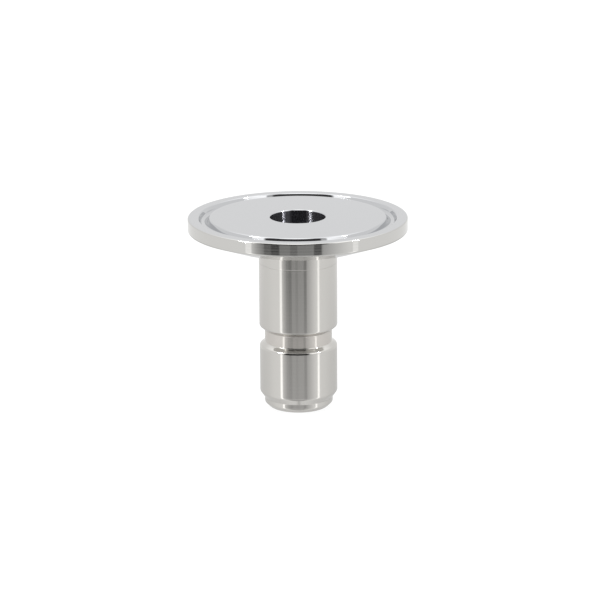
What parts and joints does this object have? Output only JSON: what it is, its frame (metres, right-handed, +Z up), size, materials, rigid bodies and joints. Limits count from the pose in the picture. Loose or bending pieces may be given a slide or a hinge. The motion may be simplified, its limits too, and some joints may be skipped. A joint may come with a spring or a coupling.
{
  "type": "quick disconnect fitting",
  "caption": "Male quick disconnect plug with a locking ball groove, turned in one piece with a sanitary clamp flange and a straight through bore.",
  "frame": {"origin": "centre of the bore at the plug's tip, on the surface that the fitting stands on", "axes": "+Z up along the bore axis from the plug's tip to the sealing face; X and Y are alike, because the fitting is round"},
  "size_m": [0.0506, 0.0504, 0.0451],
  "materials": {
    "stainless_steel": "turned and polished stainless steel"
  },
  "bodies": {
    "root": {"fitting_body": "stainless_steel"}
  },
  "joints": []
}
